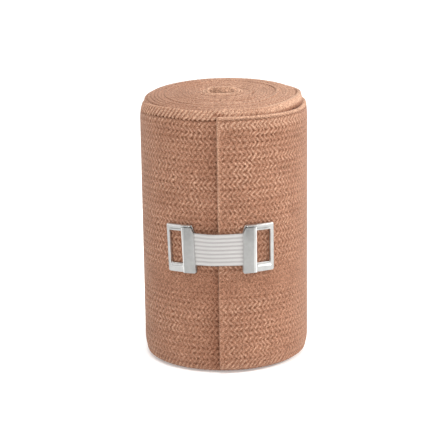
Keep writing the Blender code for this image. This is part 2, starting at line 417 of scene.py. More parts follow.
def lattice_noise(x, y, seed):
    """Smooth noise from -1 to 1 with one random value at each whole number of x and y."""
    x, y = np.broadcast_arrays(np.asarray(x, float), np.asarray(y, float))
    left, low = np.floor(x), np.floor(y)
    across, up = smooth_step(x - left, 0, 1), smooth_step(y - low, 0, 1)

    def corner(dx, dy):
        wave = np.sin((left + dx) * NOISE_X + (low + dy) * NOISE_Y + seed * NOISE_SEED)
        return np.modf(np.abs(wave * NOISE_SCALE))[0] * 2 - 1

    below = corner(0, 0) * (1 - across) + corner(1, 0) * across
    above = corner(0, 1) * (1 - across) + corner(1, 1) * across
    return below * (1 - up) + above * up


def in_scene(name, data):
    obj = bpy.data.objects.new(name, data)
    bpy.context.scene.collection.objects.link(obj)
    return obj


def set_values(layer, key, values, kind):
    layer.foreach_set(key, values.reshape(-1).astype(kind))


def solid_strip(name, points, along, across, relief):
    """A closed strip from a grid of points: one ring round the section for each station along it.

    along and across give the texture coordinates of stations and ring points, relief the tone of each point.
    """
    stations, ring = points.shape[:2]
    station, place = np.meshgrid(np.arange(stations - 1), np.arange(ring), indexing="ij")
    here, there = station * ring, (station + 1) * ring
    following = (place + 1) % ring
    quads = np.stack([here + place, there + place, there + following, here + following], axis=-1)
    quads = quads.reshape(-1, 4)
    caps = np.concatenate([np.arange(ring), np.arange(ring)[::-1] + (stations - 1) * ring])
    corners = np.concatenate([quads.ravel(), caps])
    starts = np.concatenate([np.arange(len(quads)) * 4, len(quads) * 4 + np.array([0, ring])])
    mesh = bpy.data.meshes.new(name)
    mesh.vertices.add(stations * ring)
    set_values(mesh.vertices, "co", points, np.float32)
    mesh.loops.add(len(corners))
    set_values(mesh.loops, "vertex_index", corners, np.int32)
    mesh.polygons.add(len(starts))
    set_values(mesh.polygons, "loop_start", starts, np.int32)
    mesh.update(calc_edges=True)
    mesh.validate()
    mesh.shade_smooth()
    ends = np.zeros(len(mesh.edges) * 2, np.int32)
    mesh.edges.foreach_get("vertices", ends)
    ends = ends.reshape(-1, 2) // ring
    sharp = (ends[:, 0] == ends[:, 1]) & ((ends[:, 0] == 0) | (ends[:, 0] == stations - 1))
    mesh.attributes.new("sharp_edge", "BOOLEAN", "EDGE").data.foreach_set("value", sharp)
    turned = np.append(across, across[-1] + (across[-1] - across[-2]))
    u = np.stack([along[station], along[station + 1], along[station + 1], along[station]], axis=-1)
    v = np.stack([turned[place], turned[place], turned[place + 1], turned[place + 1]], axis=-1)
    texture = np.concatenate([np.stack([u, v], axis=-1).reshape(-1, 2), np.zeros((2 * ring, 2))])
    set_values(mesh.uv_layers.new(name="cloth").data, "uv", texture, np.float32)
    set_values(mesh.attributes.new("relief", "FLOAT", "POINT").data, "value", relief, np.float32)
    return in_scene(name, mesh)


# ---------------------------------------------------------------- the wound strip


def face_radius(turn):
    first = np.clip(turn, 0, 1)
    growth = first - PITCH_BLEND_TURNS * (1 - np.exp(-first / PITCH_BLEND_TURNS))
    outer = OUTER_PITCH * first + (INNER_PITCH - OUTER_PITCH) * growth
    return ROLL_RADIUS - outer - TURN_PITCH * np.maximum(turn - 1, 0)


def strip_thickness(turn):
    return face_radius(turn) - face_radius(turn + 1) - TURN_GAP


def middle_radius(turn):
    return face_radius(turn) - strip_thickness(turn) / 2


def strip_angle(turn):
    return LOOSE_END_ANGLE + 2 * math.pi * turn


def in_core(radius):
    return np.exp(-((radius / CORE_RISE_REACH) ** 4))


def top_edge(turn):
    """Height of the top edge: low and nearly level round the outermost turn, then falling forwards."""
    radius, angle = middle_radius(turn), strip_angle(turn)
    front, right = radius * np.cos(angle), radius * np.sin(angle)
    rim = RIM_TOP - RIM_FALL * front + LEFT_RISE * hump(turn, LEFT_RISE_TURN, LEFT_RISE_SPREAD)
    plane = TOP_CENTRE - TOP_FALL * front + TOP_LEAN * right
    plane = plane + RIGHT_RISE * hump(turn, RIGHT_RISE_TURN, RIGHT_RISE_SPREAD)
    shoulder = np.exp(-np.maximum(0.0, SHOULDER_RADIUS - radius) / SHOULDER_REACH)
    plane = plane - SHOULDER_DROP * shoulder * (1 - np.maximum(0.0, np.cos(angle)) ** 2)
    rim = rim + SIDE_RISE * smooth_step(turn, *SIDE_RISE_START) * (1 - smooth_step(turn, *SIDE_RISE_END))
    share = smooth_step(turn, *RIM_BLEND)
    return rim * (1 - share) + plane * share + turn_unevenness(turn, radius, angle)


def turn_unevenness(turn, radius, angle):
    """Neighbouring turns end a little higher or lower than each other, and the pressed core stands up."""
    noise = lattice_noise(turn * TURN_NOISE_RATE, 0, TURN_SEED)
    rise = smooth_step(turn, *TURN_NOISE_START) * noise * TURN_NOISE
    rise = rise + in_core(radius) * (CORE_RISE - CORE_TIP * np.cos(angle))
    for place, direction, height, spread, width in UNEVEN_TURNS:
        away = np.mod(angle - direction + math.pi, 2 * math.pi) - math.pi
        rise = rise + height * hump(radius, place, spread) * hump(away, 0, width)
    return rise


def foot_edge(turn):
    return FOOT_LIFT * np.maximum(0.0, 1 - turn / FOOT_TURNS) ** 3


def edge_curl(turn, height, foot, top):
    """How far the strip leans inwards near its two edges."""
    near_top = np.clip((height - top + CURL_HEIGHT) / CURL_HEIGHT, 0, 1) ** 2
    near_foot = np.clip((foot + CURL_HEIGHT - height) / CURL_HEIGHT, 0, 1) ** 2
    at_top = CURL_TOP * (middle_radius(turn) / ROLL_RADIUS) ** 2
    at_top = at_top - OPEN_LIP * (1 - smooth_step(turn, *OPEN_LIP_END))
    at_top = at_top + TUCKED_LIP * hump(turn, TUCKED_LIP_TURN, TUCKED_LIP_SPREAD)
    for place, curl in SIDE_CURLS:
        at_top = at_top + curl * hump(turn, place, SIDE_CURL_SPREAD)
    at_foot = CURL_FOOT * np.maximum(0.0, 1 - turn / FOOT_TURNS)
    return at_top * near_top + at_foot * near_foot


def roll_place(radius, angle, height):
    """From radius, angle and height to a place, with the middle of the roll pressed flat."""
    stretch = CORE_STRETCH * np.exp(-((radius / CORE_REACH) ** 2))
    flat = stretch * np.tanh(CORE_SHARPNESS * np.sin(angle)) / math.tanh(CORE_SHARPNESS)
    x = AXIS_X + radius * np.sin(angle) + flat
    y = AXIS_Y - radius * np.cos(angle)
    return np.stack([x, y, np.broadcast_to(height, x.shape)], axis=-1)


def turn_table():
    """Turn numbers against the strip's length from its loose end."""
    turns = np.linspace(0, (ROLL_RADIUS - LEAST_RADIUS) / TURN_PITCH, TABLE_STEPS)
    turns = turns[middle_radius(turns) > CORE_RADIUS]
    around = 2 * math.pi * middle_radius(turns)
    length = np.concatenate([[0], np.cumsum((around[1:] + around[:-1]) / 2 * np.diff(turns))])
    return turns, length


TABLE_TURNS, TABLE_LENGTH = turn_table()


def turn_at(stitch):
    return np.interp(stitch * STITCH, TABLE_LENGTH, TABLE_TURNS)


def stitch_at(turn):
    return float(np.interp(turn, TABLE_TURNS, TABLE_LENGTH)) / STITCH


# ---------------------------------------------------------------- the strip's section and weave


def section_point(side, up, fixed, share, row, lean=0.0, joint=0.0, depth=0.0, net=0.0, band=0.0):
    """One point of the ring round the strip's section.

    side and up point out of the strip. Its height is fixed above the foot, plus its share of the height
    between the selvedges. row and lean place it in the weave. joint is 1 where two rows meet, or at the root
    of a selvedge. depth is that of the relief, net is 1 on the rows, and band goes from 0 to 1 up the top
    selvedge.
    """
    return {
        "side": side,
        "up": up,
        "fixed": fixed,
        "share": share,
        "row": row,
        "lean": lean,
        "joint": joint,
        "depth": depth,
        "net": net,
        "band": band,
    }


def at_root(rise):
    return max(0.0, 1 - rise / BAND_ROOT) ** 2


def strip_section(row_steps, face_rows, band_steps, edge_round, edge_relief):
    """The ring round the section, from its foot up the outer face and down the inner one.

    row_steps is the number of points up each row of the outer face, face_rows that down the plain inner one,
    and band_steps that up each selvedge.
    """
    points = []
    for step in range(EDGE_STEPS):
        turn = math.pi * (1 + step / EDGE_STEPS)
        fixed = edge_round * (1 + math.sin(turn))
        lean = (fixed - FOOT_BAND) / TOP_BAND + EDGE_LEAN * math.cos(turn) - EDGE_LEAN
        row = (fixed - FOOT_BAND) / ROW_HEIGHT - FOOT_EDGE_ROWS
        points.append(section_point(math.cos(turn), math.sin(turn), fixed, 0, row, lean, 0, edge_relief))
    for step in range(band_steps):
        fixed = edge_round + (FOOT_BAND - edge_round) * step / band_steps
        row, lean = (fixed - FOOT_BAND) / ROW_HEIGHT, (fixed - FOOT_BAND) / TOP_BAND
        points.append(section_point(1, 0, fixed, 0, row, lean, at_root(FOOT_BAND - fixed), edge_relief))
    for place in range(ROWS * row_steps):
        row, step = divmod(place, row_steps)
        up = step / row_steps
        lean = up if row % 2 == 0 else 1 - up
        joint = math.cos(math.pi * up) ** 2
        share = (row + up) / ROWS
        points.append(section_point(1, 0, FOOT_BAND, share, row + up, lean, joint, BODY_RELIEF, net=1.0))
    if not row_steps:
        points += [section_point(1, 0, FOOT_BAND, share, ROWS * share) for share in (0.0, 0.5)]
    for step in range(band_steps + 1):
        rise = (TOP_BAND - edge_round) * step / band_steps
        row, lean, root = ROWS + rise / ROW_HEIGHT, BAND_SLANT * rise / TOP_BAND, at_root(rise)
        band = step / band_steps
        points.append(section_point(1, 0, FOOT_BAND + rise, 1, row, lean, root, edge_relief, band=band))
    for step in range(1, EDGE_STEPS + 1):
        turn = math.pi * step / EDGE_STEPS
        side, up = math.cos(turn), math.sin(turn)
        fixed = FOOT_BAND + TOP_BAND - edge_round * (1 - up)
        lean = BAND_SLANT * (1 - edge_round / TOP_BAND) + EDGE_LEAN * (1 - side)
        row = ROWS + TOP_BAND / ROW_HEIGHT + TOP_EDGE_ROWS * (1 - side)
        points.append(section_point(side, up, fixed, 1, row, lean, 0, edge_relief, band=1.0))
    high, low = points[-1]["lean"], points[0]["lean"]
    for step in range(1, face_rows):
        share = 1 - step / face_rows
        row = ROWS + INNER_FACE_FIRST_ROW + step * INNER_FACE_ROW_STEP
        points.append(section_point(-1, 0, FOOT_BAND, share, row, high + (low - high) * (1 - share)))
    return {name: np.array([point[name] for point in points])[None, :] for name in points[0]}


def stitch_rows(row):
    """1 where two rows meet and -1 half way up a row, and nothing beyond the rows."""
    return np.cos(2 * math.pi * row) * (row > -ROW_MARGIN) * (row < ROWS + ROW_MARGIN)


def relief_level(stitch, ring, seams):
    """Height of the weave, 1 on a stitch, 0 beside it and below 0 in the pits where rows meet."""
    loose = LOOSE_STITCHES * lattice_noise(stitch * LOOSE_RATE, ring["row"] * LOOSE_RATE, LOOSE_SEED)
    crest = 0.5 + 0.5 * np.cos(2 * math.pi * (stitch - ring["lean"] + loose))
    net = 0.5 + 0.5 * stitch_rows(ring["row"]) * np.cos(2 * math.pi * (stitch + loose))
    joint = ring["joint"] * seams
    pit = PIT * ((1 - crest) * joint) ** 2
    stroke = 1 - ring["net"] * (1 - STROKE)
    streak = 1 + STREAKS * lattice_noise(stitch / STREAK_LENGTH, np.round(ring["row"]), STREAK_SEED)
    return stroke * crest + (1 - stroke) * net - pit - GROOVE * joint * streak


def relief_amount(stitch, ring, height, turn):
    """Where the weave stands out more or less."""
    stitches = 1 + STITCH_VARIETY * lattice_noise(stitch, ring["row"], STITCH_SEED)
    patches = lattice_noise(stitch / PATCH_STITCHES, ring["row"] / PATCH_ROWS, PATCH_SEED)
    pressed = 1 - PRESSED * hump(height, PRESSED_HEIGHT, PRESSED_SPREAD)
    for place in STRETCHED_TURNS:
        pressed = pressed * (1 - STRETCHED * hump(turn, place, STRETCHED_SPREAD))
    return stitches * (1 + PATCH_VARIETY * patches) * pressed


def boldness(ring, turn, smooth, depth):
    """How boldly the weave shows: most on the top selvedge, least where that is smooth or far inside."""
    bold = np.where(ring["share"] > 0, BAND_BOLDNESS, FOOT_BOLDNESS)
    bold = np.where(ring["net"] > 0, BODY_BOLDNESS, bold) * (1 - smooth) * (depth > 0)
    return bold + (INNER_BOLDNESS * (depth > 0) - bold) * smooth_step(turn, *INNER_BLEND)


def top_tone(ring, turn):
    """How much lighter the top edge is, with the ridge's painted highlight, less its painted shade towards
    the left.
    """
    behind = smooth_step(turn, *CREVICE_END)
    lighter = BAND_LIGHTER + (TOP_LIGHTER - BAND_LIGHTER) * behind
    # Painted highlight on the ridge of the turn behind the rolled selvedge.
    lighter = lighter + RIDGE_PAINTED_HIGHLIGHT * smooth_step(turn, *RIDGE_START) * (1 - behind)
    # Painted shade over the top edge towards the left.
    leftward = -middle_radius(turn) * np.sin(strip_angle(turn)) / ROLL_RADIUS
    left_painted_shade = OUTER_LEFT_PAINTED_SHADE * smooth_step(leftward, *OUTER_LEFT_PAINTED_SHADE_REACH) * (turn < 1)
    left_painted_shade = left_painted_shade + TOP_LEFT_PAINTED_SHADE * smooth_step(leftward, *TOP_LEFT_PAINTED_SHADE_REACH) * (turn >= 1)
    return (lighter - left_painted_shade) * (ring["band"] > 0)


def cloth_shade(relief, bold, ring, turn, height, top):
    """Tone of the cloth at each point, with painted shade and painted highlights laid in."""
    # The weave's pits and grooves come out darker: partly its own pattern, partly painted shade.
    shade = (relief + PIT + GROOVE) / (1 + PIT + GROOVE)
    shade = MEAN_SHADE + (shade - MEAN_SHADE) * bold + top_tone(ring, turn)
    under_lip = hump(height, top - UNDER_LIP_DEPTH, UNDER_LIP_SPREAD)
    shade = shade + UNDER_LIP_LIGHTER * under_lip * (1 - smooth_step(turn, *UNDER_LIP_END))
    # Painted shadow of the loose end's step on the cloth beside it, stronger low down.
    painted_step_shadow = STEP_PAINTED_SHADOW * (1 + LOW_STEP_PAINTED_SHADOW * (1 - smooth_step(height, *LOW_STEP_HEIGHT)))
    shade = shade - painted_step_shadow * np.exp(-np.abs(turn - 1) / STEP_PAINTED_SHADOW_REACH) * (turn < 1)
    # Painted shade down the slit inside the core; the core's edge is made lighter.
    painted_slit_shade = CORE_SLIT_PAINTED_SHADE * (ring["side"] < 0) * smooth_step(top - height, *CORE_SLIT_DEPTH)
    shade = shade + in_core(middle_radius(turn)) * (CORE_LIGHTER - painted_slit_shade)
    # Painted shade in the gap behind the rolled selvedge, on the outer face of the turn behind it.
    behind = (ring["side"] > 0) * smooth_step(turn, *CREVICE_START) * (1 - smooth_step(turn, *CREVICE_END))
    rim = top_edge(np.maximum(turn - 1, 0)) + CREVICE_LIFT
    return np.clip(shade - CREVICE_PAINTED_SHADE * behind * hump(height, rim, CREVICE_SPREAD), 0, 1)


def cut_edge_shade(shade, inward, height):
    """Light line of the loose end's cut edge, partly compact fold, partly painted highlight, laid over the
    cloth's tone.
    """
    compact_edge_and_highlight = 1 - smooth_step(inward, *END_SHADE_REACH)
    compact_edge_and_highlight = compact_edge_and_highlight * (END_SHADE_LOW + (1 - END_SHADE_LOW) * smooth_step(height, *END_SHADE_HEIGHT))
    return shade * (1 - compact_edge_and_highlight) + END_SHADE * compact_edge_and_highlight


def strip_piece(name, columns, ring, loose_end=False):
    """The part of the strip between two stitches, as a closed mesh."""
    columns = columns[:, None]
    stitch = columns + ring["lean"] * (smooth_step(columns, *END_LEAN_START) if loose_end else 1.0)
    if loose_end:
        stitch = np.maximum(stitch, columns * END_LEAST_ADVANCE)
    turn, inward = turn_at(stitch), stitch * STITCH
    foot, top = foot_edge(turn), top_edge(turn)
    middle = top - foot - FOOT_BAND - TOP_BAND
    rolled = ROLLED_BAND * (1 - smooth_step(turn, *ROLLED_BAND_END))
    height = foot + ring["fixed"] + ring["share"] * (middle + rolled) - ring["band"] * rolled
    half = strip_thickness(turn) / 2
    smooth = ring["band"] * rolled / ROLLED_BAND * ROLLED_SMOOTHNESS
    depth = ring["depth"] * (1 - smooth)
    if loose_end:
        round_off = np.clip(1 - inward / END_ROUND, 0, 1)
        half = half * np.maximum(END_THINNEST, np.sqrt(1 - round_off**2))
        depth = depth * smooth_step(inward, *END_PLAIN)
    level = relief_level(stitch, ring, 1 - rolled / ROLLED_BAND * (ring["net"] == 0))
    amount = relief_amount(stitch, ring, height, turn)
    lift = depth * amount * (level - CREST_LEVEL)
    height = height + ring["up"] * lift
    radius = middle_radius(turn) + ring["side"] * (half + lift) - edge_curl(turn, height, foot, top)
    if loose_end:
        free = 1 - hump(height, CLIP_HEIGHT, HELD_SPREAD)
        radius = radius + END_LIFT * np.clip(1 - inward / END_LIFT_LENGTH, 0, 1) ** 2 * free
    points = roll_place(np.maximum(radius, LEAST_RADIUS), strip_angle(turn), height)
    shade = cloth_shade(level * amount, boldness(ring, turn, smooth, depth), ring, turn, height, top)
    if loose_end:
        shade = cut_edge_shade(shade, inward, height)
    return solid_strip(name, points, columns[:, 0], ring["row"][0], shade)


def columns_between(start, end, in_stitch):
    return np.linspace(start, end, round((end - start) * in_stitch) + 1)


def bandage(cloth):
    """The whole strip in four lengths: the outermost turn front and back, the middle turns and the core."""
    woven = strip_section(STEPS_IN_ROW, WOVEN_FACE_ROWS, WOVEN_BAND_STEPS, EDGE_ROUND, EDGE_RELIEF)
    plain = strip_section(0, PLAIN_FACE_ROWS, PLAIN_BAND_STEPS, INNER_EDGE_ROUND, INNER_EDGE_RELIEF)
    back, inner, core = (round(stitch_at(turn)) + 0.5 for turn in (BACK_START, INNER_START, CORE_START))
    last = math.floor(TABLE_LENGTH[-1] / STITCH) - STITCHES_LEFT_OUT
    front = np.concatenate([CUT_EDGE_COLUMNS, columns_between(FIRST_COLUMN, back, COLUMNS_IN_STITCH)])
    sides = columns_between(back, inner, COLUMNS_IN_STITCH)
    middle = columns_between(inner, core, COLUMNS_IN_INNER_STITCH)
    centre = columns_between(core, last, COLUMNS_IN_INNER_STITCH)
    pieces = (
        (strip_piece("bandage_front", front, woven, loose_end=True), back),
        (strip_piece("bandage_back", sides, woven), inner - back),
        (strip_piece("bandage_middle_turns", middle, plain), core - inner),
        (strip_piece("bandage_core_turns", centre, plain), last - core),
    )
    for piece, stitches in pieces:
        piece.data.materials.append(cloth)
        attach(piece, "root")
        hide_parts("bandage_roll")


# ---------------------------------------------------------------- materials


class Material:
    """A material with the few nodes that it is made of. place is the object's own coordinates."""

    def __init__(self, name, finish):
        self.material = bpy.data.materials.new(name)
        self.material.use_nodes = True
        self.nodes, self.links = self.material.node_tree.nodes, self.material.node_tree.links
        self.shader = self.nodes["Principled BSDF"]
        for key, value in finish.items():
            self.shader.inputs[key].default_value = value
        self.place = self.nodes.new("ShaderNodeTexCoord").outputs["Object"]

    def node(self, kind, values, sources, **settings):
        """A node with its settings, with some inputs set and others fed from outputs of other nodes."""
        node = self.nodes.new(kind)
        for key, value in settings.items():
            setattr(node, key, value)
        for key, value in values.items():
            node.inputs[key].default_value = value
        for key, source in sources.items():
            self.links.new(source, node.inputs[key])
        return node

    def attribute(self, name):
        return self.node("ShaderNodeAttribute", {}, {}, attribute_name=name).outputs["Fac"]

    def noise(self, scale, detail, place=None):
        sources = {"Vector": self.place if place is None else place}
        return self.node("ShaderNodeTexNoise", {"Scale": scale, "Detail": detail}, sources).outputs["Fac"]

    def ramp(self, factor, stops):
        node = self.node("ShaderNodeValToRGB", {}, {"Fac": factor})
        elements = node.color_ramp.elements
        while len(elements) < len(stops):
            elements.new(0.5)
        for element, (position, colour) in zip(elements, stops):
            element.position = position
            element.color = (*colour, 1.0)
        return node.outputs["Color"]

    def math(self, operation, values, sources):
        return self.node("ShaderNodeMath", values, sources, operation=operation).outputs[0]

    def mix(self, blend, first, second, factor=None):
        values = {"Factor": 1.0} if factor is None else {}
        sources = {"A": first, "B": second} if factor is None else {"Factor": factor, "A": first, "B": second}
        node = self.node("ShaderNodeMix", values, sources, data_type="RGBA", blend_type=blend)
        return node.outputs["Result"]

    def feed(self, key, source):
        self.links.new(source, self.shader.inputs[key])

    def bump(self, height, strength, distance):
        node = self.node("ShaderNodeBump", {"Strength": strength, "Distance": distance}, {"Height": height})
        self.feed("Normal", node.outputs["Normal"])


def cloth_material():
    finish = {
        "Roughness": 0.92,
        "Sheen Weight": 0.22,
        "Sheen Roughness": 0.40,
        "Sheen Tint": (1.0, 0.86, 0.72, 1.0),
        "Specular IOR Level": 0.25,
    }
    cloth = Material("crepe_cloth_woven", finish)
    grain = cloth.noise(scale=1700.0, detail=3.0)
    blotch = cloth.noise(scale=140.0, detail=4.0)
    fuzz = cloth.noise(scale=2900.0, detail=1.0)
    texture = cloth.node("ShaderNodeUVMap", {}, {}, uv_map="cloth").outputs["UV"]
    twist = {"Scale": 2.0, "Distortion": 1.5, "Detail": 2.0}
    ply = cloth.node("ShaderNodeTexWave", twist, {"Vector": texture}, bands_direction="DIAGONAL")
    # The relief tone: the weave's own pattern, with painted shade and painted highlights laid in.
    level = cloth.math("SUBTRACT", {1: TONE_SHIFT}, {0: cloth.attribute("relief")})
    uneven = cloth.math("MULTIPLY_ADD", {1: GRAIN_IN_TONE}, {0: grain, 2: level})
    colour = cloth.mix("MULTIPLY", cloth.ramp(uneven, CLOTH_COLOURS), cloth.ramp(fuzz, CLOTH_SPECKLE))
    cloth.feed("Base Color", cloth.mix("MULTIPLY", colour, cloth.ramp(blotch, CLOTH_BLOTCHES)))
    fibres = cloth.math("MULTIPLY_ADD", {1: PLY_IN_BUMP}, {0: ply.outputs["Fac"], 2: grain})
    cloth.bump(fibres, strength=0.5, distance=0.00012)
    return cloth.material


def metal_material():
    metal = Material("clip_metal_satin", {"Metallic": 1.0})
    stretch = {"Scale": (300.0, 300.0, 4200.0)}
    stretched = metal.node("ShaderNodeMapping", stretch, {"Vector": metal.place}).outputs["Vector"]
    brushed = metal.noise(scale=1.0, detail=3.0, place=stretched)
    worn = metal.noise(scale=420.0, detail=5.0)
    dull, bright = metal.ramp(worn, DULL_METAL), metal.ramp(worn, BRIGHT_METAL)
    # Bright colour where polished: partly polished wear, partly painted highlight and reflection.
    metal.feed("Base Color", metal.mix("MIX", dull, bright, metal.attribute("polish_and_highlight")))
    rough = metal.node("ShaderNodeMapRange", {"To Min": 0.30, "To Max": 0.50}, {"Value": worn})
    metal.feed("Roughness", rough.outputs["Result"])
    metal.bump(brushed, strength=0.15, distance=0.00005)
    return metal.material


def elastic_material():
    white = Material("clip_elastic_white", {"Roughness": 0.75, "Sheen Weight": 0.15})
    grain = white.noise(scale=3000.0, detail=3.0)
    uneven = white.math("MULTIPLY_ADD", {1: ELASTIC_GRAIN}, {0: grain, 2: white.attribute("relief")})
    white.feed("Base Color", white.ramp(uneven, ELASTIC_COLOURS))
    white.bump(grain, strength=0.4, distance=0.00008)
    return white.material


def backdrop_material():
    paper = Material("pale_paper", {"Roughness": 0.9, "Emission Strength": 0.25})
    colour = paper.ramp(paper.noise(scale=40.0, detail=2.0), PAPER_COLOURS)
    paper.feed("Base Color", colour)
    paper.feed("Emission Color", colour)
    return paper.material


# ---------------------------------------------------------------- the clip


def seat_radius(angle):
    """Where the clip's back lies: just off the cloth, easing up over the step of the loose end."""
    left = face_radius(1 - SEAT_ANGLE / (2 * math.pi))
    right = face_radius(SEAT_ANGLE / (2 * math.pi))
    climb_start = (CLIP_CENTRE - MOUTH_GAP / 2) / ROLL_RADIUS
    climb_end = LOOSE_END_ANGLE - CLIMB_MARGIN
    return left + (right - left) * smooth_step(angle, climb_start, climb_end) + 2 * CLEARANCE


def wrapped(points):
    """From the clip's flat layout to its place on the roll."""
    along, up, out = points[..., 0], points[..., 1], points[..., 2]
    share = (along - CLIP_CENTRE) / (MOUTH_GAP / 2 + END_WIDTH)
    rise = CLIP_HEIGHT - CLIP_SAG * share * share + CLIP_TILT * (along - CLIP_CENTRE)
    angle = along / ROLL_RADIUS
    radius = seat_radius(angle) + out
    return np.stack([AXIS_X + radius * np.sin(angle), AXIS_Y - radius * np.cos(angle), rise + up], axis=-1)


def rounded_outline(points, radius):
    outline = []
    for index, corner in enumerate(points):
        corner = np.array(corner)
        before = np.array(points[index - 1]) - corner
        after = np.array(points[(index + 1) % len(points)]) - corner
        start = corner + before / np.linalg.norm(before) * radius
        end = corner + after / np.linalg.norm(after) * radius
        for step in range(CORNER_STEPS + 1):
            share = step / CORNER_STEPS
            outline.append((1 - share) ** 2 * start + 2 * share * (1 - share) * corner + share**2 * end)
    return outline


def sheet_metal(outlines, foot, top, bevel=0.0):
    """A flat outline, with any further outlines as holes, from one height to another, its edges softened."""
    curve = bpy.data.curves.new("outline", "CURVE")
    curve.dimensions = "2D"
    curve.fill_mode = "BOTH"
    curve.extrude = (top - foot) / 2
    for outline in outlines:
        spline = curve.splines.new("POLY")
        spline.points.add(len(outline) - 1)
        spline.use_cyclic_u = True
        for point, place in zip(spline.points, outline):
            point.co = (place[0], place[1], 0, 1)
    source = in_scene("outline", curve)
    graph = bpy.context.evaluated_depsgraph_get()
    mesh = bpy.data.meshes.new_from_object(source.evaluated_get(graph))
    bpy.data.objects.remove(source)
    welded = bmesh.new()
    welded.from_mesh(mesh)
    bmesh.ops.remove_doubles(welded, verts=welded.verts, dist=WELD)
    bmesh.ops.recalc_face_normals(welded, faces=welded.faces)
    bmesh.ops.translate(welded, verts=welded.verts, vec=(0, 0, (foot + top) / 2))
    welded.to_mesh(mesh)
    welded.free()
    piece = in_scene("piece", mesh)
    soften(piece, bevel)
    return piece


def soften(piece, width):
    if width:
        bevel = piece.modifiers.new("Soft edges", "BEVEL")
        bevel.width = width
        bevel.segments = BEVEL_SEGMENTS
        bevel.limit_method = "ANGLE"
        bevel.angle_limit = BEVEL_ANGLE


def laid_over(piece, axes):
    """Turns a piece that was drawn as a section into its place: axes says where its X, Y and Z go."""
    columns = Matrix(axes).transposed()
    piece.data.transform(columns.to_4x4())
    if columns.determinant() < 0:
        piece.data.flip_normals()
    return piece


def box_outline(left, right, foot, top, wider=0.0):
    left, right, foot, top = left - wider, right + wider, foot - wider, top + wider
    return [(left, foot), (right, foot), (right, top), (left, top)]


def end_outline(top=END_HEIGHT / 2):
    half = END_HEIGHT / 2
    corners = [(0, -half), (END_WIDTH, -half), (END_WIDTH, top), (NECK_WIDTH, top), (0, half - NECK_DROP)]
    return rounded_outline(corners, CORNER)


def bent_sheet():
    """The metal that is bent back over the elastic: in along the plate, round the bend and out again.

    Its two faces are set in by a hair, so that they don't fall together with the plate's.
    """
    half, middle = END_HEIGHT / 2, SLEEVE_THICKNESS / 2
    centre = WINDOW_START - middle + BEND_REACH

    def arc(radius, inset):
        turns = [math.pi * (step / BEND_STEPS - 0.5) for step in range(BEND_STEPS + 1)]
        rise = radius + inset
        return [(centre + radius * math.cos(turn), middle + rise * math.sin(turn)) for turn in turns]

    outer, inner = arc(middle, -BEND_INSET), arc(middle - SHEET, BEND_INSET)
    open_ends = [(-BEND_PAST_MOUTH, place[1]) for place in (outer[0], outer[-1], inner[-1], inner[0])]
    outline = [open_ends[0], *outer, *open_ends[1:3], *inner[::-1], open_ends[3]]
    bend = laid_over(sheet_metal([outline], -half, half), ((1, 0, 0), (0, 0, 1), (0, 1, 0)))
    trim = sheet_metal([end_outline(half - BEAD_WIDTH - BEAD_GAP)], *TRIM_HEIGHTS)
    cut = bend.modifiers.new("Trim", "BOOLEAN")
    cut.operation = "INTERSECT"
    cut.solver = "EXACT"
    cut.object = trim
    soften(bend, METAL_BEVEL)
    return bend, trim


def flat_end():
    """One metal end as drawn flat, its mouth at the left: plate, bend, window rim and lip, and two beads."""
    half, window_end = END_HEIGHT / 2, WINDOW_START + WINDOW_WIDTH
    opening = (WINDOW_START, window_end, WINDOW_FOOT, WINDOW_TOP)
    window = rounded_outline(box_outline(*opening), CORNER / 2)
    rim = rounded_outline(box_outline(*opening, wider=RIM_WIDTH), CORNER)
    bend, trim = bent_sheet()
    bend_end = WINDOW_START + BEND_REACH - SLEEVE_THICKNESS / 2
    bead = box_outline(bend_end, END_WIDTH - CORNER, half - BEAD_WIDTH, half)
    high_bead = box_outline(NECK_WIDTH + CORNER / 2, WINDOW_START, half - BEAD_WIDTH, half)
    lip_foot = WINDOW_FOOT - LIP_WIDTH
    lip = [(WINDOW_FOOT + LIP_OVERHANG, SHEET / 2), (lip_foot, SHEET / 2), (lip_foot, LIP_HEIGHT)]
    lip = sheet_metal([lip], WINDOW_START + LIP_INSET, window_end, LIP_BEVEL)
    pieces = [
        sheet_metal([end_outline(), window], 0, SHEET, METAL_BEVEL),
        bend,
        sheet_metal([rim, window], SHEET / 2, RIM_HEIGHT, RIM_BEVEL),
        sheet_metal([bead], SHEET / 2, BEAD_HEIGHT, BEAD_BEVEL),
        sheet_metal([high_bead], SHEET / 2, SLEEVE_THICKNESS + BEAD_RISE, HIGH_BEAD_BEVEL),
        laid_over(lip, ((0, 1, 0), (0, 0, 1), (1, 0, 0))),
    ]
    graph = bpy.context.evaluated_depsgraph_get()
    joined = bmesh.new()
    for piece in pieces:
        joined.from_mesh(bpy.data.meshes.new_from_object(piece.evaluated_get(graph)))
    for piece in [*pieces, trim]:
        bpy.data.objects.remove(piece)
    return joined


